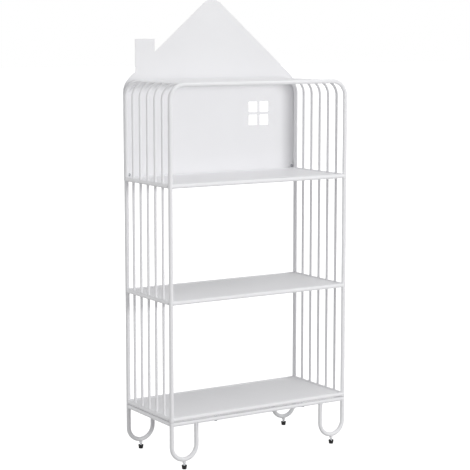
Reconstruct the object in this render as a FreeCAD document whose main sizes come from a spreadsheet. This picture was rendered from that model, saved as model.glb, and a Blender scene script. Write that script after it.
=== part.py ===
"""House-shaped kids' shelf in white painted steel.

Two bent tube arches and five thin wire arches make a cage. Tube rails tie the cage at three levels and
carry a folded sheet shelf each. A house-shaped sheet is bolted behind the top bay. The cage stands on a
bolted base of tube rails and four U-shaped legs, each with a screw foot.

Millimetres. X runs along the shelves, Y from front to back, Z up. The origin is on the floor, in the
middle of the posts.
"""
import FreeCAD, Part
import math
import os
import Sketcher

PARTS_FOLDER = "parts"

# Driving dimensions: name, value, meaning
SIZES = (
    ("width", "600", "outside of the posts, side to side"),
    ("depth", "268", "outside of the posts, front to back"),
    ("tube_diameter", "12.7", "posts, rails and legs"),
    ("tube_wall", "1", "wall of the tubes"),
    ("arch_radius", "43", "centreline bend of the arches and wires"),
    ("wire_diameter", "8", "wire arches"),
    ("wire_count", "5", "wire arches between the tube arches"),
    ("wire_clearance", "0.1", "between a wire and its hole, all round"),
    ("base_height", "139", "floor to the top of the base rails"),
    ("base_gap", "1", "between the base and the cage"),
    ("bottom_bay", "330", "bottom rails to middle rails"),
    ("middle_bay", "325", "middle rails to top rails"),
    ("top_bay", "277.5", "top rails to the top of the arches"),
    ("shelf_sheet", "0.8", "thickness of the shelf sheet"),
    ("shelf_flange", "9", "height of the folded edge of a shelf"),
    ("shelf_drop", "2.5", "shelf face below the top of its rails"),
    ("shelf_bend", "2", "outer bend radius of the folded edge"),
    ("shelf_clearance", "0.15", "between a shelf and its rails"),
    ("panel_sheet", "1.5", "thickness of the back panel"),
    ("panel_inset", "1.8", "side of the panel inside the outer side of the posts"),
    ("roof_angle", "40.5", "slope of the roof edges in degrees"),
    ("eave_drop", "5", "eaves below the top of the arches"),
    ("eave_radius", "55", "rounding of the eaves"),
    ("tip_radius", "44", "rounding of the roof tip"),
    ("foot_corner_radius", "4", "rounding of the lower panel corners"),
    ("chimney_width", "64", "chimney, side to side"),
    ("chimney_offset", "226", "middle of the chimney from the middle"),
    ("chimney_rise", "122", "top of the chimney above the arches"),
    ("pane_size", "30.5", "side of a square window pane"),
    ("pane_bar", "9", "bar between two panes"),
    ("window_offset", "162.5", "middle of the window from the middle"),
    ("window_drop", "102", "middle of the window below the arches"),
    ("ear_radius", "9", "rounded ear that takes a panel bolt"),
    ("ear_sheet", "2", "thickness of an ear"),
    ("panel_bolt_inset", "11.7", "panel bolt from the post's middle"),
    ("panel_bolt_rise", "11.6", "panel bolt above the rail's middle"),
    ("panel_bolt_diameter", "5", "panel bolt"),
    ("panel_bolt_head", "9.2", "diameter of the panel bolt's head"),
    ("panel_bolt_head_height", "2.7", "height of the panel bolt's head"),
    ("panel_bolt_tail", "1", "bolt end standing out of its nut"),
    ("panel_nut_flats", "8", "panel nut across its flats"),
    ("panel_nut_height", "4", "height of the panel nut"),
    ("panel_screw_diameter", "4", "screw into the rear arch"),
    ("panel_screw_head", "8", "diameter of that screw's head"),
    ("panel_screw_head_height", "2.4", "height of that screw's head"),
    ("panel_screw_reach", "6", "screw length inside the tube"),
    ("panel_screw_offset", "190", "screw from the middle"),
    ("bolt_clearance", "0.2", "between a bolt and its hole, all round"),
    ("thread_clearance", "0.05", "between a thread and its nut, all round"),
    ("base_bolt_diameter", "6", "bolt from the base into the cage"),
    ("base_bolt_head", "10.5", "diameter of the base bolt's head"),
    ("base_bolt_head_height", "1.5", "height of the base bolt's flat head"),
    ("base_bolt_offset", "150", "base bolt from the middle"),
    ("insert_diameter", "9", "threaded insert in the cage rail"),
    ("insert_flange", "10.4", "diameter of the insert's flange"),
    ("insert_reach", "8", "insert length above its flange"),
    ("spigot_length", "40", "pin that lines up a leg and a post"),
    ("spigot_clearance", "0.15", "between the pin and the tubes, all round"),
    ("leg_span", "80", "middle to middle of a leg's two limbs"),
    ("leg_lift", "22", "floor to the underside of a leg"),
    ("boss_diameter", "10", "threaded boss under a leg"),
    ("boss_height", "5", "boss below the leg's underside"),
    ("stud_diameter", "6", "foot screw"),
    ("stud_reach", "5.2", "screw end above the leg's underside"),
    ("stud_seat", "6", "depth of the screw in its foot"),
    ("stud_hole_clearance", "0.3", "between the screw and the leg, all round"),
    ("foot_height", "11.5", "height of the foot"),
    ("foot_top", "16", "diameter of the foot at its top"),
    ("foot_bottom", "12.5", "diameter of the foot on the floor"),
    ("cut_overrun", "5", "how far a cutting shape runs past"),
)

# Worked-out dimensions, from the ones above
DERIVED = (
    ("tube_radius", "=tube_diameter / 2"),
    ("tube_bore", "=tube_diameter - 2 * tube_wall"),
    ("post_span", "=width - tube_diameter"),
    ("post_depth", "=depth - tube_diameter"),
    ("wire_pitch", "=post_depth / (wire_count + 1)"),
    ("wire_hole", "=wire_diameter + 2 * wire_clearance"),
    ("base_level", "=base_height - tube_radius"),
    ("bottom_level", "=base_height + base_gap + tube_radius"),
    ("middle_level", "=bottom_level + bottom_bay"),
    ("top_level", "=middle_level + middle_bay"),
    ("arch_level", "=top_level + top_bay"),
    ("post_foot", "=base_height + base_gap"),
    ("shelf_length", "=post_span - tube_diameter - 2 * shelf_clearance"),
    ("shelf_depth", "=post_depth - tube_diameter - 2 * shelf_clearance"),
    ("shelf_face", "=tube_radius - shelf_drop"),
    ("panel_front", "=depth / 2"),
    ("panel_width", "=width - 2 * panel_inset"),
    ("panel_foot", "=top_level - tube_radius"),
    ("eave_level", "=arch_level - eave_drop"),
    ("roof_rise", "=panel_width / 2 * tan(roof_angle * 1deg)"),
    ("tip_centre", "=eave_level + roof_rise - tip_radius / cos(roof_angle * 1deg)"),
    ("window_size", "=2 * pane_size + pane_bar"),
    ("panel_bolt_side", "=post_span / 2 - panel_bolt_inset"),
    ("panel_bolt_level", "=top_level + panel_bolt_rise"),
    ("panel_bolt_hole", "=panel_bolt_diameter + 2 * bolt_clearance"),
    ("panel_nut_thread", "=panel_bolt_diameter + 2 * thread_clearance"),
    ("panel_screw_hole", "=panel_screw_diameter + 2 * bolt_clearance"),
    ("panel_screw_thread", "=panel_screw_diameter + 2 * thread_clearance"),
    ("base_bolt_hole", "=base_bolt_diameter + 2 * bolt_clearance"),
    ("base_bolt_thread", "=base_bolt_diameter + 2 * thread_clearance"),
    ("insert_hole", "=insert_diameter + 2 * thread_clearance"),
    ("spigot_diameter", "=tube_bore - 2 * spigot_clearance"),
    ("leg_centre", "=leg_lift + tube_radius + leg_span / 2"),
    ("stud_bore", "=stud_diameter + 2 * thread_clearance"),
    ("stud_hole", "=stud_diameter + 2 * stud_hole_clearance"),
    ("stud_foot", "=foot_height - stud_seat + thread_clearance"),
)

doc = FreeCAD.newDocument("kids_house_shelf")
sheet = doc.addObject("Spreadsheet::Sheet", "sizes")
nodes = []


def fill_sheet():
    for row, (name, value, meaning) in enumerate(SIZES, start=1):
        sheet.set(f"A{row}", meaning)
        sheet.set(f"B{row}", value)
        sheet.setAlias(f"B{row}", name)
    for row, (name, formula) in enumerate(DERIVED, start=len(SIZES) + 1):
        sheet.set(f"B{row}", formula)
        sheet.setAlias(f"B{row}", name)
    doc.recompute()


def worked_out(expression):
    """The number that an expression gives now."""
    return float(sheet.evalExpression(expression))


def new_body(name):
    body = doc.addObject("PartDesign::Body", name)
    body.Label = name
    return body


def keep(obj, name):
    """Name a finished sub-part after its piece and list it for export."""
    obj.Label = name
    nodes.append(obj)
    return obj


def place(obj, x="0", y="0", z="0"):
    obj.setExpression(".Placement.Base.x", x)
    obj.setExpression(".Placement.Base.y", y)
    obj.setExpression(".Placement.Base.z", z)


def turn(obj, axis, angle):
    obj.Placement.Rotation = FreeCAD.Rotation(axis, angle)


X_AXIS = FreeCAD.Vector(1, 0, 0)
Y_AXIS = FreeCAD.Vector(0, 1, 0)
Z_AXIS = FreeCAD.Vector(0, 0, 1)
QUARTER_ANGLE = 90
HALF_ANGLE = 180
FULL_ANGLE = 360
MATCH_TOLERANCE = 1e-6

# Ways a round solid can face, other than up
TO_FRONT = (X_AXIS, QUARTER_ANGLE)
TO_BACK = (X_AXIS, -QUARTER_ANGLE)
TO_RIGHT = (Y_AXIS, QUARTER_ANGLE)


# Sketches

def sketch_on(body, role, name, offset="0"):
    """A sketch on one of the body's own planes, moved along the plane's normal by the offset."""
    sketch = body.newObject("Sketcher::SketchObject", name)
    plane = next(item for item in body.Origin.OriginFeatures if item.Role == role)
    sketch.AttachmentSupport = [(plane, "")]
    sketch.MapMode = "FlatFace"
    sketch.setExpression(".AttachmentOffset.Base.z", offset)
    return sketch


def bind(sketch, kind, *references, to):
    """Add a dimension and tie it to an expression."""
    value = worked_out(to)
    index = sketch.addConstraint(Sketcher.Constraint(kind, *references, value))
    sketch.setExpression(f"Constraints[{index}]", to)


def bind_across(sketch, kind, geometry, point, to):
    """Hold a point at a distance from the sketch's origin; a leading minus sign means the other way."""
    if to.startswith("-"):
        bind(sketch, kind, geometry, point, -1, 1, to=to[1:].strip())
    else:
        bind(sketch, kind, -1, 1, geometry, point, to=to)


def signed(expression):
    if expression.startswith("-"):
        return -worked_out(expression[1:])
    return worked_out(expression)


def add_circle(sketch, diameter, x="0", y="0"):
    centre = FreeCAD.Vector(signed(x), signed(y), 0)
    circle = sketch.addGeometry(Part.Circle(centre, Z_AXIS, worked_out(diameter) / 2))
    for kind, axis, value in (("DistanceX", -2, x), ("DistanceY", -1, y)):
        if value == "0":
            sketch.addConstraint(Sketcher.Constraint("PointOnObject", circle, 3, axis))
        else:
            bind_across(sketch, kind, circle, 3, value)
    bind(sketch, "Diameter", circle, to=diameter)
    return circle


def add_line(sketch, start, end):
    return sketch.addGeometry(Part.LineSegment(FreeCAD.Vector(*start, 0), FreeCAD.Vector(*end, 0)))


def add_arc(sketch, centre, radius, first, last):
    circle = Part.Circle(FreeCAD.Vector(*centre, 0), Z_AXIS, radius)
    return sketch.addGeometry(Part.ArcOfCircle(circle, math.radians(first), math.radians(last)))


def add_rectangle(sketch, left, bottom, width, height):
    """A rectangle from its lower left corner; each argument is an expression."""
    x = signed(left)
    y = signed(bottom)
    far_x = x + worked_out(width)
    far_y = y + worked_out(height)
    corners = ((x, y), (far_x, y), (far_x, far_y), (x, far_y))
    lines = [add_line(sketch, corners[i], corners[(i + 1) % 4]) for i in range(4)]
    for i in range(4):
        sketch.addConstraint(Sketcher.Constraint("Coincident", lines[i], 2, lines[(i + 1) % 4], 1))
        sketch.addConstraint(Sketcher.Constraint("Vertical" if i % 2 else "Horizontal", lines[i]))
    bind_across(sketch, "DistanceX", lines[0], 1, left)
    bind_across(sketch, "DistanceY", lines[0], 1, bottom)
    bind(sketch, "DistanceX", lines[0], 1, lines[0], 2, to=width)
    bind(sketch, "DistanceY", lines[1], 1, lines[1], 2, to=height)


# Features

def pad(body, sketch, length, both_ways=False, reverse=False):
    feature = body.newObject("PartDesign::Pad", sketch.Name + "_pad")
    feature.Profile = sketch
    feature.setExpression("Length", length)
    feature.SideType = "Symmetric" if both_ways else "One side"
    feature.Reversed = reverse
    return feature


def pocket(body, sketch, length=None, both_ways=False, reverse=False):
    """Cut a sketch out of a body, right through where no length is given."""
    feature = body.newObject("PartDesign::Pocket", sketch.Name + "_pocket")
    feature.Profile = sketch
    if length is None:
        feature.Type = "ThroughAll"
    else:
        feature.setExpression("Length", length)
    feature.SideType = "Symmetric" if both_ways else "One side"
    feature.Reversed = reverse
    return feature


def pipe(body, section, path):
    feature = body.newObject("PartDesign::AdditivePipe", path.Name + "_pipe")
    feature.Profile = section
    feature.Spine = (path, [])
    return feature


def cylinder(name, diameter, height, x, y, z, facing=None):
    """A round solid from a place, upright where no other way to face is given."""
    solid = doc.addObject("Part::Cylinder", name)
    solid.setExpression("Radius", f"({diameter}) / 2")
    solid.setExpression("Height", height)
    if facing is not None:
        turn(solid, *facing)
    place(solid, x, y, z)
    return solid


def boolean(kind, name, base, tool):
    feature = doc.addObject(kind, name)
    feature.Base = base
    feature.Tool = tool
    return feature


def group(name, solids):
    compound = doc.addObject("Part::Compound", name)
    compound.Links = solids
    return keep(compound, name)


# Arches of tube and wire

def arch_path(body, foot):
    """Up one side, across the top and down the other, on the body's upright plane."""
    path = sketch_on(body, "XZ_Plane", body.Name + "_path")
    side = worked_out("sizes.post_span / 2")
    low = worked_out(foot)
    high = worked_out("sizes.arch_level")
    bend = worked_out("sizes.arch_radius")
    left = add_line(path, (-side, low), (-side, high - bend))
    left_bend = add_arc(path, (bend - side, high - bend), bend, QUARTER_ANGLE, HALF_ANGLE)
    top = add_line(path, (bend - side, high), (side - bend, high))
    right_bend = add_arc(path, (side - bend, high - bend), bend, 0, QUARTER_ANGLE)
    right = add_line(path, (side, high - bend), (side, low))
    for first, first_end, second, second_end in (
        (left, 2, left_bend, 2),
        (left_bend, 1, top, 1),
        (top, 2, right_bend, 2),
        (right_bend, 1, right, 1),
    ):
        path.addConstraint(Sketcher.Constraint("Tangent", first, first_end, second, second_end))
    path.addConstraint(Sketcher.Constraint("Vertical", left))
    path.addConstraint(Sketcher.Constraint("Symmetric", left, 1, right, 2, -2))
    path.addConstraint(Sketcher.Constraint("Equal", left_bend, right_bend))
    bind(path, "Radius", left_bend, to="sizes.arch_radius")
    bind(path, "DistanceX", left, 1, right, 2, to="sizes.post_span")
    bind(path, "DistanceY", -1, 1, left, 1, to=foot)
    bind(path, "DistanceY", -1, 1, top, 1, to="sizes.arch_level")
    return path


def arch(name, y, diameter, foot, bore=None):
    body = new_body(name)
    path = arch_path(body, foot)
    section = sketch_on(body, "XY_Plane", name + "_section", foot)
    add_circle(section, diameter, "-sizes.post_span / 2")
    if bore is not None:
        add_circle(section, bore, "-sizes.post_span / 2")
    pipe(body, section, path)
    place(body, y=y)
    return keep(body, name)


def tube_arches():
    for name, y in (("front_arch", "-sizes.post_depth / 2"), ("rear_arch", "sizes.post_depth / 2")):
        body = arch(name, y, "sizes.tube_diameter", "sizes.post_foot", "sizes.tube_bore")
        if name == "rear_arch":
            # Two screw holes in the back wall of the top run, for the back panel
            holes = sketch_on(body, "XZ_Plane", name + "_holes")
            for side in ("", "-"):
                x = side + "sizes.panel_screw_offset"
                add_circle(holes, "sizes.panel_screw_thread", x, "sizes.arch_level")
            pocket(body, holes, "sizes.tube_diameter")


def wire_arches():
    for index in range(int(worked_out("sizes.wire_count"))):
        y = f"sizes.wire_pitch * {index + 1} - sizes.post_depth / 2"
        arch(f"wire_arch_{index + 1}", y, "sizes.wire_diameter", "sizes.bottom_level")


# Rails: level name, height, and what each level carries

LEVELS = (
    ("base", "sizes.base_level"),
    ("bottom", "sizes.bottom_level"),
    ("middle", "sizes.middle_level"),
    ("top", "sizes.top_level"),
)


def tube_section(body, role):
    section = sketch_on(body, role, body.Name + "_section")
    add_circle(section, "sizes.tube_diameter")
    add_circle(section, "sizes.tube_bore")
    return section


def long_rail(level, height, face, y):
    """A rail along the front or back, its ends cut round to fit the posts."""
    body = new_body(f"{level}_{face}_rail")
    pad(body, tube_section(body, "YZ_Plane"), "sizes.post_span", both_ways=True)
    ends = sketch_on(body, "XY_Plane", body.Name + "_ends")
    for side in ("-", ""):
        add_circle(ends, "sizes.tube_diameter", side + "sizes.post_span / 2")
    pocket(body, ends, both_ways=True)
    if level in ("base", "bottom"):
        # Base rails take the bolts right through, bottom rails take the inserts in their lower wall
        holes = sketch_on(body, "XY_Plane", body.Name + "_holes")
        size = "sizes.base_bolt_hole" if level == "base" else "sizes.insert_hole"
        for side in ("-", ""):
            add_circle(holes, size, side + "sizes.base_bolt_offset")
        pocket(body, holes, both_ways=level == "base")
    place(body, y=y, z=height)
    keep(body, body.Name)


def side_rail(level, height, face, x):
    """A rail along one side, its ends cut round to fit the posts, with a hole for each wire."""
    body = new_body(f"{level}_{face}_rail")
    pad(body, tube_section(body, "XZ_Plane"), "sizes.post_depth", both_ways=True)
    ends = sketch_on(body, "XY_Plane", body.Name + "_ends")
    for side in ("-", ""):
        add_circle(ends, "sizes.tube_diameter", "0", side + "sizes.post_depth / 2")
    pocket(body, ends, both_ways=True)
    # The end also keeps clear of the long rail that wraps the same post
    beside = sketch_on(body, "YZ_Plane", body.Name + "_beside")
    for side in ("-", ""):
        add_circle(beside, "sizes.tube_diameter", side + "sizes.post_depth / 2")
    pocket(body, beside, both_ways=True)
    if level != "base":
        # The wires pass through the upper rails and end inside the bottom ones
        hole = sketch_on(body, "XY_Plane", body.Name + "_hole")
        add_circle(hole, "sizes.wire_hole", "0", "-(sizes.post_depth / 2 - sizes.wire_pitch)")
        first = pocket(body, hole, both_ways=level != "bottom", reverse=level == "bottom")
        row = body.newObject("PartDesign::LinearPattern", body.Name + "_row")
        row.Originals = [first]
        row.Direction = (hole, ["V_Axis"])
        row.setExpression("Length", "sizes.wire_pitch * (sizes.wire_count - 1)")
        row.setExpression("Occurrences", "sizes.wire_count")
        body.Tip = row
    place(body, x=x, z=height)
    keep(body, body.Name)


def rails():
    for level, height in LEVELS:
        long_rail(level, height, "front", "-sizes.post_depth / 2")
        long_rail(level, height, "rear", "sizes.post_depth / 2")
        side_rail(level, height, "left", "-sizes.post_span / 2")
        side_rail(level, height, "right", "sizes.post_span / 2")


# Shelves: a folded sheet between the rails of each level

def edges_at(shape, height):
    """Names of the straight edges that lie at one height."""
    names = []
    for number, edge in enumerate(shape.Edges, start=1):
        if all(math.isclose(vertex.Z, height, abs_tol=MATCH_TOLERANCE) for vertex in edge.Vertexes):
            names.append(f"Edge{number}")
    return names


def shelf(level, height):
    body = new_body(f"{level}_shelf")
    plan = sketch_on(body, "XY_Plane", body.Name + "_plan", "sizes.shelf_face")
    add_rectangle(
        plan,
        "-sizes.shelf_length / 2",
        "-sizes.shelf_depth / 2",
        "sizes.shelf_length",
        "sizes.shelf_depth",
    )
    block = pad(body, plan, "sizes.shelf_flange", reverse=True)
    doc.recompute()
    bend = body.newObject("PartDesign::Fillet", body.Name + "_bend")
    bend.Base = (block, edges_at(block.Shape, worked_out("sizes.shelf_face")))
    bend.setExpression("Radius", "sizes.shelf_bend")
    hollow = sketch_on(body, "XY_Plane", body.Name + "_hollow", "sizes.shelf_face - sizes.shelf_sheet")
    add_rectangle(
        hollow,
        "-(sizes.shelf_length / 2 - sizes.shelf_sheet)",
        "-(sizes.shelf_depth / 2 - sizes.shelf_sheet)",
        "sizes.shelf_length - 2 * sizes.shelf_sheet",
        "sizes.shelf_depth - 2 * sizes.shelf_sheet",
    )
    pocket(body, hollow)
    place(body, z=height)
    keep(body, body.Name)


def shelves():
    for level, height in LEVELS[1:]:
        shelf(level, height)


# Back panel: house outline with a chimney and a window of four panes

EAVE_CENTRE = "sizes.eave_level - sizes.eave_radius * tan((90deg - sizes.roof_angle * 1deg) / 2)"


def house_outline(body):
    outline = sketch_on(body, "XZ_Plane", body.Name + "_outline")
    half = worked_out("sizes.panel_width / 2")
    low = worked_out("sizes.panel_foot")
    slope = worked_out("sizes.roof_angle")
    eave_radius = worked_out("sizes.eave_radius")
    tip_radius = worked_out("sizes.tip_radius")
    tip = worked_out("sizes.tip_centre")
    eave_centre = (half - eave_radius, worked_out(EAVE_CENTRE))
    run = (math.sin(math.radians(slope)), math.cos(math.radians(slope)))
    eave_end = (eave_centre[0] + eave_radius * run[0], eave_centre[1] + eave_radius * run[1])
    tip_end = (tip_radius * run[0], tip + tip_radius * run[1])
    bottom = add_line(outline, (-half, low), (half, low))
    right = add_line(outline, (half, low), (half, eave_centre[1]))
    roof_start = QUARTER_ANGLE - slope
    roof_end = QUARTER_ANGLE + slope
    right_eave = add_arc(outline, eave_centre, eave_radius, 0, roof_start)
    right_roof = add_line(outline, eave_end, tip_end)
    peak = add_arc(outline, (0, tip), tip_radius, roof_start, roof_end)
    left_roof = add_line(outline, (-tip_end[0], tip_end[1]), (-eave_end[0], eave_end[1]))
    left_eave = add_arc(outline, (-eave_centre[0], eave_centre[1]), eave_radius, roof_end, HALF_ANGLE)
    left = add_line(outline, (-half, eave_centre[1]), (-half, low))
    chain = (right, right_eave, right_roof, peak, left_roof, left_eave, left)
    for first, second in zip(chain, chain[1:]):
        outline.addConstraint(Sketcher.Constraint("Tangent", first, 2, second, 1))
    outline.addConstraint(Sketcher.Constraint("Coincident", left, 2, bottom, 1))
    outline.addConstraint(Sketcher.Constraint("Coincident", bottom, 2, right, 1))
    outline.addConstraint(Sketcher.Constraint("Symmetric", bottom, 1, bottom, 2, -2))
    outline.addConstraint(Sketcher.Constraint("Vertical", right))
    outline.addConstraint(Sketcher.Constraint("Vertical", left))
    outline.addConstraint(Sketcher.Constraint("PointOnObject", peak, 3, -2))
    outline.addConstraint(Sketcher.Constraint("Equal", right_eave, left_eave))
    outline.addConstraint(Sketcher.Constraint("Equal", right_roof, left_roof))
    bind(outline, "DistanceX", bottom, 1, bottom, 2, to="sizes.panel_width")
    bind(outline, "DistanceY", -1, 1, bottom, 1, to="sizes.panel_foot")
    bind(outline, "Radius", right_eave, to="sizes.eave_radius")
    bind(outline, "Radius", peak, to="sizes.tip_radius")
    bind(outline, "DistanceY", -1, 1, peak, 3, to="sizes.tip_centre")
    bind(outline, "DistanceY", -1, 1, right_eave, 3, to=EAVE_CENTRE)
    return outline


def lower_corners(shape):
    """Names of the short edges at the two lower corners of the panel."""
    low = shape.BoundBox.ZMin
    names = []
    for number, edge in enumerate(shape.Edges, start=1):
        points = edge.Vertexes
        level = all(math.isclose(point.Z, low, abs_tol=MATCH_TOLERANCE) for point in points)
        if level and math.isclose(points[0].X, points[-1].X, abs_tol=MATCH_TOLERANCE):
            names.append(f"Edge{number}")
    return names


def back_panel():
    body = new_body("back_panel")
    wall = pad(body, house_outline(body), "sizes.panel_sheet", reverse=True)
    doc.recompute()
    corners = body.newObject("PartDesign::Fillet", "back_panel_corners")
    corners.Base = (wall, lower_corners(wall.Shape))
    corners.setExpression("Radius", "sizes.foot_corner_radius")
    chimney = sketch_on(body, "XZ_Plane", "back_panel_chimney")
    add_rectangle(
        chimney,
        "-(sizes.chimney_offset + sizes.chimney_width / 2)",
        "sizes.panel_foot + (sizes.eave_level - sizes.panel_foot) / 2",
        "sizes.chimney_width",
        "sizes.arch_level + sizes.chimney_rise - (sizes.eave_level + sizes.panel_foot) / 2",
    )
    pad(body, chimney, "sizes.panel_sheet", reverse=True)
    window = sketch_on(body, "XZ_Plane", "back_panel_window")
    for x in ("0", "sizes.pane_size + sizes.pane_bar"):
        for z in ("0", "sizes.pane_size + sizes.pane_bar"):
            add_rectangle(
                window,
                f"sizes.window_offset - sizes.window_size / 2 + ({x})",
                f"sizes.arch_level - sizes.window_drop - sizes.window_size / 2 + ({z})",
                "sizes.pane_size",
                "sizes.pane_size",
            )
    pocket(body, window, both_ways=True)
    holes = sketch_on(body, "XZ_Plane", "back_panel_holes")
    for side in ("-", ""):
        bolt_x = side + "sizes.panel_bolt_side"
        screw_x = side + "sizes.panel_screw_offset"
        add_circle(holes, "sizes.panel_bolt_hole", bolt_x, "sizes.panel_bolt_level")
        add_circle(holes, "sizes.panel_screw_hole", screw_x, "sizes.arch_level")
    pocket(body, holes, both_ways=True)
    place(body, y="sizes.panel_front")
    keep(body, "back_panel")


# Panel fasteners: ears on the rear posts, bolts and nuts below, screws into the rear arch above

def panel_ear(name, side):
    """A rounded plate in the corner of post and rail, cut to fit both tubes."""
    x = f"{side}sizes.panel_bolt_side"
    z = "sizes.panel_bolt_level"
    post_x = f"{side}sizes.post_span / 2"
    rail_start = f"{x} - 2 * sizes.ear_radius"
    length = "4 * sizes.ear_radius"
    disc = cylinder(name + "_disc", "2 * sizes.ear_radius", "sizes.ear_sheet",
                    x, "sizes.panel_front", z, TO_FRONT)
    hole = cylinder(name + "_hole", "sizes.panel_bolt_hole", "sizes.ear_sheet + 2 * sizes.cut_overrun",
                    x, "sizes.panel_front + sizes.cut_overrun", z, TO_FRONT)
    post = cylinder(name + "_post", "sizes.tube_diameter", length,
                    post_x, "sizes.post_depth / 2", f"{z} - 2 * sizes.ear_radius")
    rail = cylinder(name + "_rail", "sizes.tube_diameter", length,
                    rail_start, "sizes.post_depth / 2", "sizes.top_level", TO_RIGHT)
    drilled = boolean("Part::Cut", name + "_drilled", disc, hole)
    beside_post = boolean("Part::Cut", name + "_beside_post", drilled, post)
    keep(boolean("Part::Cut", name, beside_post, rail), name)


def panel_fasteners():
    bolts = []
    nuts = []
    screws = []
    level = "sizes.panel_bolt_level"
    head_face = "sizes.panel_front - sizes.ear_sheet"
    nut_face = "sizes.panel_front + sizes.panel_sheet"
    bolt_reach = "sizes.ear_sheet + sizes.panel_sheet + sizes.panel_nut_height + sizes.panel_bolt_tail"
    screw_reach = "sizes.panel_sheet + sizes.panel_screw_reach"
    for name, side in (("left", "-"), ("right", "")):
        panel_ear(f"{name}_panel_ear", side)
        x = f"{side}sizes.panel_bolt_side"
        head = cylinder(f"{name}_panel_bolt_head", "sizes.panel_bolt_head", "sizes.panel_bolt_head_height",
                        x, head_face, level, TO_FRONT)
        shank = cylinder(f"{name}_panel_bolt_shank", "sizes.panel_bolt_diameter", bolt_reach,
                         x, head_face, level, TO_BACK)
        bolts.append(boolean("Part::Fuse", f"{name}_panel_bolt", head, shank))
        hexagon = doc.addObject("Part::Prism", f"{name}_panel_nut_hexagon")
        hexagon.Polygon = 6
        hexagon.setExpression("Circumradius", "sizes.panel_nut_flats / 2 / cos(30deg)")
        hexagon.setExpression("Height", "sizes.panel_nut_height")
        turn(hexagon, *TO_BACK)
        place(hexagon, x, nut_face, level)
        thread = cylinder(f"{name}_panel_nut_thread", "sizes.panel_nut_thread",
                          "sizes.panel_nut_height + 2 * sizes.cut_overrun",
                          x, f"{nut_face} - sizes.cut_overrun", level, TO_BACK)
        nuts.append(boolean("Part::Cut", f"{name}_panel_nut", hexagon, thread))
        screw_x = f"{side}sizes.panel_screw_offset"
        cap = cylinder(f"{name}_panel_screw_head", "sizes.panel_screw_head",
                       "sizes.panel_screw_head_height", screw_x, nut_face, "sizes.arch_level", TO_BACK)
        stem = cylinder(f"{name}_panel_screw_stem", "sizes.panel_screw_diameter", screw_reach,
                        screw_x, nut_face, "sizes.arch_level", TO_FRONT)
        screws.append(boolean("Part::Fuse", f"{name}_panel_screw", cap, stem))
    group("panel_bolts", bolts)
    group("panel_nuts", nuts)
    group("panel_screws", screws)


# Base: legs, the pins that line them up with the posts, and the bolts that hold the cage down

CORNERS = (
    ("front_left", "-", "-"),
    ("front_right", "", "-"),
    ("rear_left", "-", ""),
    ("rear_right", "", ""),
)

# The inner limb of a leg points to the right, and on the right side it is turned to the left
LEG_ANGLE = {"-": 0, "": HALF_ANGLE}


def leg_path(body):
    """Down the outer limb, round the bottom and up the inner limb."""
    path = sketch_on(body, "XZ_Plane", body.Name + "_path")
    span = worked_out("sizes.leg_span")
    centre = worked_out("sizes.leg_centre")
    outer = add_line(path, (0, worked_out("sizes.base_height")), (0, centre))
    bend = add_arc(path, (span / 2, centre), span / 2, HALF_ANGLE, FULL_ANGLE)
    inner = add_line(path, (span, centre), (span, worked_out("sizes.base_level")))
    path.addConstraint(Sketcher.Constraint("Tangent", outer, 2, bend, 1))
    path.addConstraint(Sketcher.Constraint("Tangent", bend, 2, inner, 1))
    path.addConstraint(Sketcher.Constraint("PointOnObject", outer, 1, -2))
    path.addConstraint(Sketcher.Constraint("Vertical", outer))
    path.addConstraint(Sketcher.Constraint("Vertical", inner))
    bind(path, "DistanceX", outer, 1, inner, 2, to="sizes.leg_span")
    bind(path, "DistanceY", -1, 1, outer, 1, to="sizes.base_height")
    bind(path, "DistanceY", -1, 1, inner, 2, to="sizes.base_level")
    bind(path, "DistanceY", -1, 1, bend, 3, to="sizes.leg_centre")
    return path


def leg(name, x, y, angle):
    body = new_body(f"{name}_leg")
    path = leg_path(body)
    section = sketch_on(body, "XY_Plane", body.Name + "_section", "sizes.base_height")
    add_circle(section, "sizes.tube_diameter")
    add_circle(section, "sizes.tube_bore")
    pipe(body, section, path)
    # The inner limb is cut round to fit under its base rail
    saddle = sketch_on(body, "YZ_Plane", body.Name + "_saddle", "sizes.leg_span / 2")
    add_circle(saddle, "sizes.tube_diameter", "0", "sizes.base_level")
    pocket(body, saddle, reverse=True)
    # A hole in the underside lets the foot screw up into the tube
    hole = sketch_on(body, "XY_Plane", body.Name + "_hole")
    add_circle(hole, "sizes.stud_hole", "sizes.leg_span / 2")
    pocket(body, hole, "sizes.leg_lift + sizes.tube_radius", reverse=True)
    turn(body, Z_AXIS, angle)
    place(body, x, y)
    keep(body, body.Name)


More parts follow.
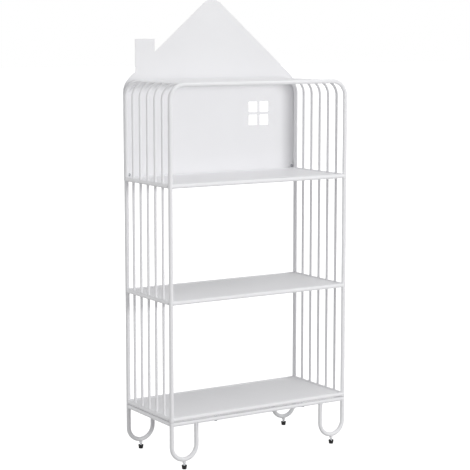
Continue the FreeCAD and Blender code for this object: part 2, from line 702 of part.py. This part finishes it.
def foot(name, x, y):
    """Threaded boss under a leg, its screw and the tapered foot."""
    boss_foot = "sizes.leg_lift - sizes.boss_height"
    boss_length = "sizes.boss_height + sizes.tube_radius"
    blank = cylinder(f"{name}_boss_blank", "sizes.boss_diameter", boss_length, x, y, boss_foot)
    bore = cylinder(f"{name}_boss_bore", "sizes.stud_bore", f"{boss_length} + 2 * sizes.cut_overrun",
                    x, y, f"{boss_foot} - sizes.cut_overrun")
    bend = doc.addObject("Part::Torus", f"{name}_boss_seat")
    bend.setExpression("Radius1", "sizes.leg_span / 2")
    bend.setExpression("Radius2", "sizes.tube_radius")
    turn(bend, *TO_FRONT)
    place(bend, x, y, "sizes.leg_centre")
    threaded = boolean("Part::Cut", f"{name}_boss_threaded", blank, bore)
    keep(boolean("Part::Cut", f"{name}_foot_boss", threaded, bend), f"{name}_foot_boss")
    screw = cylinder(f"{name}_foot_screw", "sizes.stud_diameter",
                     "sizes.leg_lift + sizes.stud_reach - sizes.stud_foot", x, y, "sizes.stud_foot")
    keep(screw, f"{name}_foot_screw")
    cone = doc.addObject("Part::Cone", f"{name}_foot_cone")
    cone.setExpression("Radius1", "sizes.foot_bottom / 2")
    cone.setExpression("Radius2", "sizes.foot_top / 2")
    cone.setExpression("Height", "sizes.foot_height")
    place(cone, x, y)
    seat = cylinder(f"{name}_foot_seat", "sizes.stud_bore", "sizes.stud_seat + sizes.cut_overrun", x, y,
                    "sizes.foot_height - sizes.stud_seat")
    keep(boolean("Part::Cut", f"{name}_foot", cone, seat), f"{name}_foot")


def base():
    pins = []
    bolts = []
    inserts = []
    pin_foot = "sizes.post_foot - sizes.base_gap / 2 - sizes.spigot_length / 2"
    under = "sizes.base_level - sizes.tube_radius"
    insert_length = "sizes.base_gap + sizes.insert_reach"
    for name, side, face in CORNERS:
        x = f"{side}sizes.post_span / 2"
        y = f"{face}sizes.post_depth / 2"
        leg(name, x, y, LEG_ANGLE[side])
        inward = "+" if side else "-"
        foot(name, f"{x} {inward} sizes.leg_span / 2", y)
        pins.append(cylinder(f"{name}_pin", "sizes.spigot_diameter", "sizes.spigot_length", x, y, pin_foot))
        bolt_x = f"{side}sizes.base_bolt_offset"
        head = cylinder(f"{name}_base_bolt_head", "sizes.base_bolt_head", "sizes.base_bolt_head_height",
                        bolt_x, y, f"{under} - sizes.base_bolt_head_height")
        shank = cylinder(f"{name}_base_bolt_shank", "sizes.base_bolt_diameter",
                         f"sizes.tube_diameter + {insert_length}", bolt_x, y, under)
        bolts.append(boolean("Part::Fuse", f"{name}_base_bolt", head, shank))
        flange = cylinder(f"{name}_insert_flange", "sizes.insert_flange", "sizes.base_gap",
                          bolt_x, y, "sizes.base_height")
        barrel = cylinder(f"{name}_insert_barrel", "sizes.insert_diameter", insert_length,
                          bolt_x, y, "sizes.base_height")
        blank = boolean("Part::Fuse", f"{name}_insert_blank", flange, barrel)
        thread = cylinder(f"{name}_insert_thread", "sizes.base_bolt_thread",
                          f"{insert_length} + 2 * sizes.cut_overrun",
                          bolt_x, y, "sizes.base_height - sizes.cut_overrun")
        inserts.append(boolean("Part::Cut", f"{name}_insert", blank, thread))
    group("leg_pins", pins)
    group("base_bolts", bolts)
    group("base_inserts", inserts)


def check_and_export():
    doc.recompute()
    for obj in doc.Objects:
        if "Invalid" in obj.State or "Error" in obj.State:
            raise RuntimeError(f"{obj.Name} failed: {obj.State}")
    for node in nodes:
        if node.Shape.isNull() or not node.Shape.isValid() or not node.Shape.Solids:
            raise RuntimeError(f"{node.Label} has no valid solid")
    os.makedirs(PARTS_FOLDER, exist_ok=True)
    for node in nodes:
        node.Shape.exportStep(os.path.join(PARTS_FOLDER, node.Label + ".step"))
    print(len(nodes), "nodes written")


fill_sheet()
tube_arches()
wire_arches()
rails()
shelves()
back_panel()
panel_fasteners()
base()
check_and_export()
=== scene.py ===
"""Looks of the house-shaped kids' shelf.

A painted cage of tubes and wires, sheet shelves, a house-shaped panel and screw feet. Every piece stands
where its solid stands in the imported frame. Lengths are in metres.
"""

import math

import bmesh
import bpy
from mathutils import Matrix, Vector

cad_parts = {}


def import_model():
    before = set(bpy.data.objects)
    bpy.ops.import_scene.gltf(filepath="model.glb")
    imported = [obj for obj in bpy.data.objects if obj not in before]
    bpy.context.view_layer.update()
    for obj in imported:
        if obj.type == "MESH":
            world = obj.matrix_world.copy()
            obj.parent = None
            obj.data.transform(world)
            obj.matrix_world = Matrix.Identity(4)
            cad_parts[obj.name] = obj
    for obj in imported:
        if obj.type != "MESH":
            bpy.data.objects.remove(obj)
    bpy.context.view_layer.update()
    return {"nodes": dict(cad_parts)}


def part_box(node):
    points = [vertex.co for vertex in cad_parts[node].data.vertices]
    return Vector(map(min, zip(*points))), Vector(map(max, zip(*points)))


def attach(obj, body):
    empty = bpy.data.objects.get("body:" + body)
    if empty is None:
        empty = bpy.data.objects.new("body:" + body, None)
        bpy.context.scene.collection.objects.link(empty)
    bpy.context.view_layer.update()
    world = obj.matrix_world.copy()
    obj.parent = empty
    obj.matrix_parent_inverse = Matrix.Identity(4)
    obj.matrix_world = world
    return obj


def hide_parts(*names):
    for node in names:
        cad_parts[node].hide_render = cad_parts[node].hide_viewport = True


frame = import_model()

# Places and sizes read from the frame
front_low, front_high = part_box("front_arch")
rear_low, rear_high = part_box("rear_arch")
wire_low, wire_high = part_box("wire_arch_1")
TUBE_RADIUS = (front_high.y - front_low.y) / 2
WIRE_RADIUS = (wire_high.y - wire_low.y) / 2
POST_X = (front_high.x - front_low.x) / 2 - TUBE_RADIUS
POST_Y = (rear_high.y + rear_low.y) / 2
ARCH_TOP = front_high.z - TUBE_RADIUS
WIRE_COUNT = sum(name.startswith("wire_arch_") for name in frame["nodes"])
LEVELS = ("base", "bottom", "middle", "top")
LEVEL_Z = {level: sum(corner.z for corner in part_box(f"{level}_front_rail")) / 2 for level in LEVELS}
CORNERS = ("front_left", "front_right", "rear_left", "rear_right")

# Directions
ALONG_X = (1, 0, 0)
ALONG_Y = (0, 1, 0)
UP = (0, 0, 1)
DOWN = (0, 0, -1)

# Bars, sheets and soft edges
ARCH_BEND = 0.043
TUBE_SIDES = 32
WIRE_SIDES = 20
BEND_STEPS = 18
SHEET_EDGE = 0.00035
NUT_EDGE = 0.0003
EDGE_SEGMENTS = 2
EDGE_DEGREES = 40
FLAT_DEGREES = 0.4
SMOOTH_DEGREES = 32
MERGE = 1e-6

# Weld beads
WELD_RADIUS = 0.0011
WELD_POINTS = 28
WELD_ROUNDNESS = 2
WELD_SMOOTH_DEGREES = 60

# Bolts: radii of shanks and of the base bolts' heads
PANEL_BOLT_SHANK = 0.0025
PANEL_SCREW_SHANK = 0.002
BASE_BOLT_SHANK = 0.003
BASE_BOLT_HEAD = 0.00525

# Bolt heads: socket and crown are shares of the head's radius, shoulder and socket depth of its height
HEAD_SIDES = 24
SOCKET_SIDES = 6
DOME_STEPS = 5
SOCKET_SHARE = 0.34
CROWN_SHARE = 0.52
SHOULDER_SHARE = 0.28
SOCKET_DEPTH_SHARE = 0.62

# Bolt points: a share of the shank's length, and the share of its radius that is left at the end
POINT_SHARE = 0.05
POINT_TAPER = 0.85

# Foot screws
THREAD_PITCH = 0.001
THREAD_DEPTH = 0.00055
THREAD_STEPS = 20

# Feet: the collar's inset and wall are shares of the top radius
FOOT_BOTTOM = 0.00625
FOOT_SIDES = 48
FOOT_RIM = 0.0009
FOOT_RIM_SEGMENTS = 3
COLLAR_INSET = 0.28
COLLAR_WALL = 0.05
COLLAR_DEPTH = 0.0007

# Surfaces: depth of the pebbled skin, and the range that most of a noise lies in
PEBBLE_DEPTH = 0.00012
NOISE_LOW = 0.3
NOISE_HIGH = 0.7

# Camera, with its turns in degrees
SENSOR_WIDTH = 36
LENS = 117.3
FAR_CLIP = 100
EYE = (-2.3542, -3.7545, 1.2307)
LOOK_DOWN = 7.687
LOOK_RIGHT = 32.031

# World and floor: the floor's own glow rises from near the object to far away
AMBIENT = 0.52
FLOOR_HALF_SIZE = 40
FLOOR_GREY = 0.6
FLOOR_ROUGHNESS = 0.9
FLOOR_SPECULAR = 0.1
FLOOR_GLOW = 0.85
FLOOR_NEAR = 0.4
FLOOR_FAR = 1.6

# Lamps: name, place, side of the square and power in watts
LAMP_TARGET = (0, 0, 0.65)
LAMPS = (
    ("front_light", (0.64, -3.4, 1.16), 0.45, 41),
    ("left_light", (-2.08, -1.2, 3.05), 1.6, 6),
    ("right_light", (2.45, -0.9, 2.85), 1.6, 9),
    ("top_light", (0, -0.8, 3.4), 2.0, 11),
    ("back_light", (-1.9, 3.0, 0.55), 1.6, 24),
)


# Materials

def new_material(name):
    """A new material with its nodes and links."""
    material = bpy.data.materials.new(name)
    material.use_nodes = True
    return material, material.node_tree.nodes, material.node_tree.links


def speckle_group():
    """Fine unevenness of a coated or moulded surface: a slow drift, a pebbled height and a fine speckle."""
    group = bpy.data.node_groups.new("surface_speckle", "ShaderNodeTree")
    group.interface.new_socket("Vector", in_out="INPUT", socket_type="NodeSocketVector")
    for name, start in (("Drift Scale", 5.0), ("Pebble Scale", 700.0), ("Speckle Scale", 2400.0)):
        socket = group.interface.new_socket(name, in_out="INPUT", socket_type="NodeSocketFloat")
        socket.default_value = start
    for name in ("Drift", "Pebble", "Speckle"):
        group.interface.new_socket(name, in_out="OUTPUT", socket_type="NodeSocketFloat")
    nodes, links = group.nodes, group.links
    inside = nodes.new("NodeGroupInput")
    outside = nodes.new("NodeGroupOutput")
    for name, detail in (("Drift", 3.0), ("Pebble", 2.0), ("Speckle", 1.0)):
        noise = nodes.new("ShaderNodeTexNoise")
        noise.inputs["Detail"].default_value = detail
        links.new(inside.outputs["Vector"], noise.inputs["Vector"])
        links.new(inside.outputs[f"{name} Scale"], noise.inputs["Scale"])
        links.new(noise.outputs["Fac"], outside.inputs[name])
    return group


SPECKLE = speckle_group()


def blend_range(nodes, links, value, low, high):
    """Spread a noise over a range of values."""
    spread = nodes.new("ShaderNodeMapRange")
    spread.inputs["From Min"].default_value = NOISE_LOW
    spread.inputs["From Max"].default_value = NOISE_HIGH
    spread.inputs["To Min"].default_value = low
    spread.inputs["To Max"].default_value = high
    links.new(value, spread.inputs["Value"])
    return spread.outputs["Result"]


def coated(name, dark, light, rough, pebble, drift=5.0, bump=0.2, metallic=0.0, specular=0.5):
    """A surface whose colour drifts between two tones, with a pebbled skin and a speckled gloss."""
    material, nodes, links = new_material(name)
    shader = nodes["Principled BSDF"]
    shader.inputs["Metallic"].default_value = metallic
    shader.inputs["Specular IOR Level"].default_value = specular
    place = nodes.new("ShaderNodeTexCoord")
    speckle = nodes.new("ShaderNodeGroup")
    speckle.node_tree = SPECKLE
    speckle.inputs["Drift Scale"].default_value = drift
    speckle.inputs["Pebble Scale"].default_value = pebble
    links.new(place.outputs["Object"], speckle.inputs["Vector"])
    tone = nodes.new("ShaderNodeMix")
    tone.data_type = "RGBA"
    tone.inputs["A"].default_value = (*dark, 1)
    tone.inputs["B"].default_value = (*light, 1)
    links.new(blend_range(nodes, links, speckle.outputs["Drift"], 0, 1), tone.inputs["Factor"])
    links.new(tone.outputs["Result"], shader.inputs["Base Color"])
    links.new(blend_range(nodes, links, speckle.outputs["Speckle"], *rough), shader.inputs["Roughness"])
    relief = nodes.new("ShaderNodeBump")
    relief.inputs["Strength"].default_value = bump
    relief.inputs["Distance"].default_value = PEBBLE_DEPTH
    links.new(speckle.outputs["Pebble"], relief.inputs["Height"])
    links.new(relief.outputs["Normal"], shader.inputs["Normal"])
    return material


WHITE_PAINT = coated(
    "white_powder_coat", dark=(0.842, 0.842, 0.858), light=(0.868, 0.868, 0.884), rough=(0.46, 0.56),
    pebble=800, specular=0.22,
)
WELD_PAINT = coated(
    "white_paint_on_weld", dark=(0.82, 0.82, 0.836), light=(0.862, 0.862, 0.878), rough=(0.46, 0.58),
    pebble=500, bump=0.5, specular=0.22,
)
ZINC = coated(
    "bright_zinc", dark=(0.60, 0.61, 0.63), light=(0.74, 0.75, 0.77), rough=(0.16, 0.30),
    pebble=900, drift=90, bump=0.08, metallic=1.0,
)
# A darker copy of the zinc for the bolts, screws and nuts: its darker tone is painted shade and painted dark
# reflection.
SHADE_DARKENED_ZINC = coated(
    "zinc_darkened_for_painted_shade", dark=(0.36, 0.37, 0.39), light=(0.50, 0.51, 0.53), rough=(0.22, 0.36),
    pebble=900, drift=90, bump=0.08, metallic=1.0,
)
BARE_STEEL = coated(
    "drawn_steel", dark=(0.42, 0.42, 0.43), light=(0.52, 0.52, 0.53), rough=(0.30, 0.45),
    pebble=700, drift=60, metallic=1.0,
)
BLACK_NYLON = coated(
    "black_nylon", dark=(0.004, 0.004, 0.004), light=(0.009, 0.009, 0.009), rough=(0.45, 0.60),
    pebble=1500, drift=40, bump=0.35, specular=0.25,
)


# Pieces

def add_piece(name, bm, material, slot, body, *nodes, sharp=SMOOTH_DEGREES):
    """Turn a finished bmesh into a piece of the object, riding on a body in place of its solids."""
    mesh = bpy.data.meshes.new(name)
    bm.to_mesh(mesh)
    bm.free()
    mesh.shade_smooth()
    mesh.set_sharp_from_angle(angle=math.radians(sharp))
    mesh.materials.append(material)
    piece = bpy.data.objects.new(name, mesh)
    bpy.context.scene.collection.objects.link(piece)
    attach(piece, body)
    if nodes:
        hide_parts(*nodes)
    return piece


def add_painted(name, bm, node):
    """A white piece of the frame in place of one solid."""
    return add_piece(name, bm, WHITE_PAINT, "white_paint", "frame", node)


def solid_copy(node):
    """A merged copy of a solid's mesh."""
    bm = bmesh.new()
    bm.from_mesh(frame["nodes"][node].data)
    bmesh.ops.remove_doubles(bm, verts=bm.verts, dist=MERGE)
    return bm


def flat_copy(node):
    """A merged copy whose flat faces are whole again."""
    bm = solid_copy(node)
    bmesh.ops.dissolve_limit(bm, angle_limit=math.radians(FLAT_DEGREES), verts=bm.verts, edges=bm.edges)
    return bm


def soften_edges(piece, width):
    """Round the edges of a piece a little."""
    bevel = piece.modifiers.new("edge", "BEVEL")
    bevel.width = width
    bevel.segments = EDGE_SEGMENTS
    bevel.limit_method = "ANGLE"
    bevel.angle_limit = math.radians(EDGE_DEGREES)
    bevel.harden_normals = True


def draw_ring(bm, edges):
    """Draw out an open ring of edges, still in its place, and give back the new ring's corners and edges."""
    made = bmesh.ops.extrude_edge_only(bm, edges=edges)["geom"]
    verts = [item for item in made if isinstance(item, bmesh.types.BMVert)]
    ring = [item for item in made if isinstance(item, bmesh.types.BMEdge) and item.is_boundary]
    return verts, ring


def run_on(bm, edges, step):
    """Draw an open ring of edges out along a straight run and give back the new ring."""
    verts, ring = draw_ring(bm, edges)
    bmesh.ops.translate(bm, verts=verts, vec=step)
    return ring


def bend_on(bm, edges, centre, axis, angle, steps):
    """Draw an open ring of edges round a bend and give back the last ring."""
    made = bmesh.ops.spin(bm, geom=edges, cent=centre, axis=axis, angle=angle, steps=steps)["geom_last"]
    return [item for item in made if isinstance(item, bmesh.types.BMEdge)]


def close_up(bm):
    """Cap open ends, merge what meets and turn the faces outwards."""
    bmesh.ops.remove_doubles(bm, verts=bm.verts, dist=MERGE)
    bmesh.ops.holes_fill(bm, edges=[edge for edge in bm.edges if edge.is_boundary])
    bmesh.ops.recalc_face_normals(bm, faces=bm.faces)


def bent_arch(y, foot, radius, sides):
    """A round bar up one side, over two quarter bends and down the other side."""
    bm = bmesh.new()
    start = Matrix.Translation((-POST_X, y, foot))
    bmesh.ops.create_circle(bm, segments=sides, radius=radius, matrix=start)
    bend_x = POST_X - ARCH_BEND
    bend_z = ARCH_TOP - ARCH_BEND
    quarter = math.pi / 2
    ring = run_on(bm, bm.edges[:], (0, 0, bend_z - foot))
    ring = bend_on(bm, ring, (-bend_x, y, bend_z), ALONG_Y, quarter, BEND_STEPS)
    ring = run_on(bm, ring, (2 * bend_x, 0, 0))
    ring = bend_on(bm, ring, (bend_x, y, bend_z), ALONG_Y, quarter, BEND_STEPS)
    run_on(bm, ring, (0, 0, foot - bend_z))
    close_up(bm)
    return bm


def arches():
    """The two tube arches and the wire arches between them."""
    for face, y in (("front", -POST_Y), ("rear", POST_Y)):
        bm = bent_arch(y, front_low.z, TUBE_RADIUS, TUBE_SIDES)
        add_painted(f"{face}_arch_tube", bm, f"{face}_arch")
    for number in range(1, WIRE_COUNT + 1):
        low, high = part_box(f"wire_arch_{number}")
        bm = bent_arch((low.y + high.y) / 2, low.z, WIRE_RADIUS, WIRE_SIDES)
        add_painted(f"wire_{number}", bm, f"wire_arch_{number}")


def tubes_and_sheets():
    """Rails, legs, bosses and shelves keep the shape of their solids, and flat sheets get soft edges."""
    nodes = [f"{level}_{face}_rail" for level in LEVELS for face in ("front", "rear", "left", "right")]
    nodes += [f"{corner}_{part}" for corner in CORNERS for part in ("leg", "foot_boss")]
    for node in nodes:
        add_painted(f"{node}_painted", solid_copy(node), node)
    for level in LEVELS[1:]:
        node = f"{level}_shelf"
        add_painted(f"{node}_sheet", solid_copy(node), node)
    for node in ("back_panel", "left_panel_ear", "right_panel_ear"):
        sheet = add_painted(f"{node}_sheet", flat_copy(node), node)
        soften_edges(sheet, SHEET_EDGE)


# Welds

def saddle(big, small, to_place):
    """Points of the line where a bar of the small radius meets the side of a bar of the big radius.

    The line is drawn in a little at its sides, so that the bead sinks in where the two bars lie flush.
    """
    points = []
    for index in range(WELD_POINTS):
        turn = 2 * math.pi * index / WELD_POINTS
        across = (small - WELD_RADIUS) * math.sin(turn)
        height = math.sqrt(max(big * big - across * across, 0))
        points.append(to_place @ Vector((small * math.cos(turn), across, height)))
    return points


def facing(place, along, out):
    """A frame at a place with X along the big bar and Z out along the small bar."""
    along = Vector(along)
    out = Vector(out)
    turn = Matrix((along, out.cross(along), out)).transposed().to_4x4()
    return Matrix.Translation(place) @ turn


def weld_loops():
    """Where the rails meet the posts, the wires meet the rails and the legs meet the base."""
    loops = []
    for level in LEVELS:
        z = LEVEL_Z[level]
        for x in (-POST_X, POST_X):
            for y in (-POST_Y, POST_Y):
                inward_x = (-math.copysign(1, x), 0, 0)
                inward_y = (0, -math.copysign(1, y), 0)
                loops.append(saddle(TUBE_RADIUS, TUBE_RADIUS, facing((x, y, z), UP, inward_x)))
                loops.append(saddle(TUBE_RADIUS, TUBE_RADIUS, facing((x, y, z), UP, inward_y)))
        if level == "base":
            continue
        wire_ways = (UP,) if level == "bottom" else (UP, DOWN)
        for number in range(1, WIRE_COUNT + 1):
            low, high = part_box(f"wire_arch_{number}")
            y = (low.y + high.y) / 2
            for x in (-POST_X, POST_X):
                for way in wire_ways:
                    loops.append(saddle(TUBE_RADIUS, WIRE_RADIUS, facing((x, y, z), ALONG_Y, way)))
    for corner in CORNERS:
        low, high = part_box(f"{corner}_leg")
        inner_x = high.x - TUBE_RADIUS if low.x < 0 else low.x + TUBE_RADIUS
        place = (inner_x, (low.y + high.y) / 2, LEVEL_Z["base"])
        loops.append(saddle(TUBE_RADIUS, TUBE_RADIUS, facing(place, ALONG_X, DOWN)))
    return loops


def welds():
    """One piece with all the beads."""
    line = bpy.data.curves.new("weld_lines", "CURVE")
    line.dimensions = "3D"
    line.bevel_depth = WELD_RADIUS
    line.bevel_resolution = WELD_ROUNDNESS
    for points in weld_loops():
        spline = line.splines.new("POLY")
        spline.points.add(len(points) - 1)
        for point, place in zip(spline.points, points):
            point.co = (*place, 1)
        spline.use_cyclic_u = True
    drawn = bpy.data.objects.new("weld_lines", line)
    mesh = bpy.data.meshes.new_from_object(drawn)
    bpy.data.objects.remove(drawn)
    bm = bmesh.new()
    bm.from_mesh(mesh)
    add_piece("weld_beads", bm, WELD_PAINT, "white_paint", "frame", sharp=WELD_SMOOTH_DEGREES)


# Fasteners

def step_ring(bm, edges, radius_from, radius_to, rise):
    """Draw a ring of edges about the Z axis to a new radius and height, and give back the new ring."""
    verts, ring = draw_ring(bm, edges)
    scale = radius_to / radius_from
    bmesh.ops.scale(bm, verts=verts, vec=(scale, scale, 1))
    bmesh.ops.translate(bm, verts=verts, vec=(0, 0, rise))
    return ring


def socket_bolt(head, height, shank, length):
    """A domed bolt along Z with a hexagon socket, its seat at 0, its head above and its shank below."""
    bm = bmesh.new()
    crown = head * CROWN_SHARE
    shoulder = height * SHOULDER_SHARE
    lift = Matrix.Translation((0, 0, height))
    bmesh.ops.create_circle(bm, segments=SOCKET_SIDES, radius=head * SOCKET_SHARE, matrix=lift)
    bmesh.ops.subdivide_edges(bm, edges=bm.edges[:], cuts=HEAD_SIDES // SOCKET_SIDES - 1)
    rim = bm.edges[:]
    socket_floor = run_on(bm, rim, (0, 0, -height * SOCKET_DEPTH_SHARE))
    bmesh.ops.edgeloop_fill(bm, edges=socket_floor)
    known = set(bm.edges)
    bmesh.ops.create_circle(bm, segments=HEAD_SIDES, radius=crown, matrix=lift)
    outer = [edge for edge in bm.edges if edge not in known]
    bmesh.ops.bridge_loops(bm, edges=rim + outer)
    ring, radius, level = outer, crown, height
    for step in range(1, DOME_STEPS + 1):
        turn = math.pi / 2 * step / DOME_STEPS
        next_radius = crown + (head - crown) * math.sin(turn)
        next_level = shoulder + (height - shoulder) * math.cos(turn)
        ring = step_ring(bm, ring, radius, next_radius, next_level - level)
        radius, level = next_radius, next_level
    ring = step_ring(bm, ring, radius, radius, -level)
    ring = step_ring(bm, ring, radius, shank, 0)
    ring = step_ring(bm, ring, shank, shank, -length * (1 - POINT_SHARE))
    step_ring(bm, ring, shank, shank * POINT_TAPER, -length * POINT_SHARE)
    close_up(bm)
    return bm


def bolt_group(name, node, places, turn, head, height, shank, length):
    """One piece of like bolts: each place is a seat, and the turn takes Z to the way the head faces."""
    bm = bmesh.new()
    for place in places:
        one = socket_bolt(head, height, shank, length)
        bmesh.ops.transform(one, matrix=Matrix.Translation(place) @ turn, verts=one.verts)
        mesh = bpy.data.meshes.new("one_bolt")
        one.to_mesh(mesh)
        one.free()
        bm.from_mesh(mesh)
        bpy.data.meshes.remove(mesh)
    # The bolts get the darker zinc, whose dark tone is painted shade and painted dark reflection.
    add_piece(name, bm, SHADE_DARKENED_ZINC, "zinc_steel", "frame", node)


def level_pair(low, high, seat):
    """Head radius and seats of two level bolts along Y, one on each side, from the box round both."""
    head = (high.z - low.z) / 2
    x = high.x - head
    z = (low.z + high.z) / 2
    return head, [(-x, seat, z), (x, seat, z)]


def fasteners():
    """Bolts through the panel's ears with their nuts, screws behind the panel and bolts under the base."""
    to_front = Matrix.Rotation(math.pi / 2, 4, "X")
    to_back = Matrix.Rotation(-math.pi / 2, 4, "X")
    to_floor = Matrix.Rotation(math.pi, 4, "X")

    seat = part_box("right_panel_ear")[0].y
    low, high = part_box("panel_bolts")
    head, places = level_pair(low, high, seat)
    height, length = seat - low.y, high.y - seat
    bolt_group("panel_bolts_zinc", "panel_bolts", places, to_front, head, height, PANEL_BOLT_SHANK, length)
    bm = flat_copy("panel_nuts")
    # The nuts get the darker zinc, whose dark tone is painted shade and painted dark reflection.
    nuts = add_piece("panel_nuts_zinc", bm, SHADE_DARKENED_ZINC, "zinc_steel", "frame", "panel_nuts")
    soften_edges(nuts, NUT_EDGE)

    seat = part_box("back_panel")[1].y
    low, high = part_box("panel_screws")
    head, places = level_pair(low, high, seat)
    height, length = high.y - seat, seat - low.y
    bolt_group("panel_screws_zinc", "panel_screws", places, to_back, head, height, PANEL_SCREW_SHANK, length)

    seat = LEVEL_Z["base"] - TUBE_RADIUS
    low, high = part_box("base_bolts")
    x = high.x - BASE_BOLT_HEAD
    places = [(side * x, y, seat) for side in (-1, 1) for y in (-POST_Y, POST_Y)]
    height, length = seat - low.z, high.z - seat
    bolt_group(
        "base_bolts_zinc", "base_bolts", places, to_floor, BASE_BOLT_HEAD, height, BASE_BOLT_SHANK, length
    )


# Feet

def threaded_rod(x, y, low, high, radius):
    """A rod with a right-hand thread: a tooth profile wound up the rod."""
    bm = bmesh.new()
    root = radius - THREAD_DEPTH
    tooth = [
        bm.verts.new((x + root, y, low)),
        bm.verts.new((x + radius, y, low + THREAD_PITCH / 2)),
        bm.verts.new((x + root, y, low + THREAD_PITCH)),
    ]
    edges = [bm.edges.new(tooth[:2]), bm.edges.new(tooth[1:])]
    turns = int((high - low) / THREAD_PITCH) - 1
    bmesh.ops.spin(
        bm,
        geom=tooth + edges,
        cent=(x, y, 0),
        axis=UP,
        dvec=(0, 0, THREAD_PITCH / THREAD_STEPS),
        angle=2 * math.pi * turns,
        steps=turns * THREAD_STEPS,
    )
    close_up(bm)
    return bm


def moulded_foot(x, y, height, top, bottom):
    """A tapered foot with rounded rims and a shallow collar round its screw."""
    bm = bmesh.new()
    middle = Matrix.Translation((x, y, height / 2))
    bmesh.ops.create_cone(
        bm, cap_ends=True, segments=FOOT_SIDES, radius1=bottom, radius2=top, depth=height, matrix=middle
    )
    rims = [edge for edge in bm.edges if edge.verts[0].co.z == edge.verts[1].co.z]
    bmesh.ops.bevel(
        bm,
        geom=rims,
        offset=FOOT_RIM,
        offset_type="OFFSET",
        affect="EDGES",
        segments=FOOT_RIM_SEGMENTS,
        profile=0.5,
        material=-1,
    )
    crown = max(bm.faces, key=lambda face: face.calc_center_median().z)
    bmesh.ops.inset_region(bm, faces=[crown], thickness=top * COLLAR_INSET, depth=0)
    bmesh.ops.inset_region(bm, faces=[crown], thickness=top * COLLAR_WALL, depth=-COLLAR_DEPTH)
    bmesh.ops.recalc_face_normals(bm, faces=bm.faces)
    return bm


def feet():
    """A threaded rod and a moulded foot at each corner, each on its own body."""
    for corner in CORNERS:
        low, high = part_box(f"{corner}_foot_screw")
        x = (low.x + high.x) / 2
        y = (low.y + high.y) / 2
        rod = threaded_rod(x, y, low.z, high.z, (high.x - low.x) / 2)
        add_piece(
            f"{corner}_threaded_rod", rod, ZINC, "zinc_steel", f"{corner}_foot_screw", f"{corner}_foot_screw"
        )
        low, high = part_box(f"{corner}_foot")
        shape = moulded_foot(x, y, high.z, (high.x - low.x) / 2, FOOT_BOTTOM)
        add_piece(
            f"{corner}_foot_moulded", shape, BLACK_NYLON, "black_nylon", f"{corner}_foot", f"{corner}_foot"
        )


def inner_pieces():
    """The pieces that hardly show keep their solids and get their finish."""
    for node, material in (("leg_pins", BARE_STEEL), ("base_inserts", ZINC)):
        for place in frame["nodes"][node].material_slots:
            place.material = material


# Studio

def camera():
    """The photograph's view: from the front left, higher than the arches, looking slightly down."""
    view = bpy.data.cameras.new("camera")
    view.sensor_width = SENSOR_WIDTH
    view.lens = LENS
    view.clip_end = FAR_CLIP
    eye = bpy.data.objects.new("camera", view)
    eye.location = EYE
    eye.rotation_euler = (math.radians(90 - LOOK_DOWN), 0, math.radians(-LOOK_RIGHT))
    bpy.context.scene.collection.objects.link(eye)
    bpy.context.scene.camera = eye


def seen_directly(nodes, links):
    """A mask that is 1 for what the camera sees, straight, in a reflection or through glass."""
    path = nodes.new("ShaderNodeLightPath")
    seen = path.outputs["Is Camera Ray"]
    for name in ("Is Glossy Ray", "Is Transmission Ray"):
        most = nodes.new("ShaderNodeMath")
        most.operation = "MAXIMUM"
        links.new(seen, most.inputs[0])
        links.new(path.outputs[name], most.inputs[1])
        seen = most.outputs["Value"]
    return seen


def world():
    """White where it is seen, and an even weaker light on the object."""
    sky = bpy.data.worlds.new("studio")
    sky.use_nodes = True
    nodes, links = sky.node_tree.nodes, sky.node_tree.links
    backdrop = nodes["Background"]
    backdrop.inputs["Color"].default_value = (1, 1, 1, 1)
    level = nodes.new("ShaderNodeMapRange")
    level.inputs["To Min"].default_value = AMBIENT
    level.inputs["To Max"].default_value = 1
    links.new(seen_directly(nodes, links), level.inputs["Value"])
    links.new(level.outputs["Result"], backdrop.inputs["Strength"])
    bpy.context.scene.world = sky


def floor():
    """A pale floor that keeps the object's shadow and goes over into the white background far away."""
    bm = bmesh.new()
    bmesh.ops.create_grid(bm, x_segments=1, y_segments=1, size=FLOOR_HALF_SIZE)
    mesh = bpy.data.meshes.new("floor")
    bm.to_mesh(mesh)
    bm.free()
    material, nodes, links = new_material("pale_floor")
    shader = nodes["Principled BSDF"]
    shader.inputs["Base Color"].default_value = (FLOOR_GREY, FLOOR_GREY, FLOOR_GREY, 1)
    shader.inputs["Roughness"].default_value = FLOOR_ROUGHNESS
    shader.inputs["Specular IOR Level"].default_value = FLOOR_SPECULAR
    shader.inputs["Emission Color"].default_value = (1, 1, 1, 1)
    place = nodes.new("ShaderNodeTexCoord")
    distance = nodes.new("ShaderNodeVectorMath")
    distance.operation = "LENGTH"
    links.new(place.outputs["Object"], distance.inputs[0])
    level = nodes.new("ShaderNodeMapRange")
    level.inputs["From Min"].default_value = FLOOR_NEAR
    level.inputs["From Max"].default_value = FLOOR_FAR
    level.inputs["To Min"].default_value = FLOOR_GLOW
    level.inputs["To Max"].default_value = 1
    links.new(distance.outputs["Value"], level.inputs["Value"])
    glow = nodes.new("ShaderNodeMath")
    glow.operation = "MULTIPLY"
    links.new(seen_directly(nodes, links), glow.inputs[0])
    links.new(level.outputs["Result"], glow.inputs[1])
    links.new(glow.outputs["Value"], shader.inputs["Emission Strength"])
    mesh.materials.append(material)
    ground = bpy.data.objects.new("floor", mesh)
    bpy.context.scene.collection.objects.link(ground)


def lights():
    """Square soft lamps that face the middle of the object."""
    for name, place, size, power in LAMPS:
        lamp = bpy.data.lights.new(name, "AREA")
        lamp.shape = "SQUARE"
        lamp.size = size
        lamp.energy = power
        holder = bpy.data.objects.new(name, lamp)
        holder.location = place
        holder.rotation_euler = (Vector(LAMP_TARGET) - Vector(place)).to_track_quat("-Z", "Y").to_euler()
        bpy.context.scene.collection.objects.link(holder)


arches()
tubes_and_sheets()
welds()
fasteners()
feet()
inner_pieces()
camera()
world()
floor()
lights()
bpy.context.scene.view_settings.view_transform = "Standard"
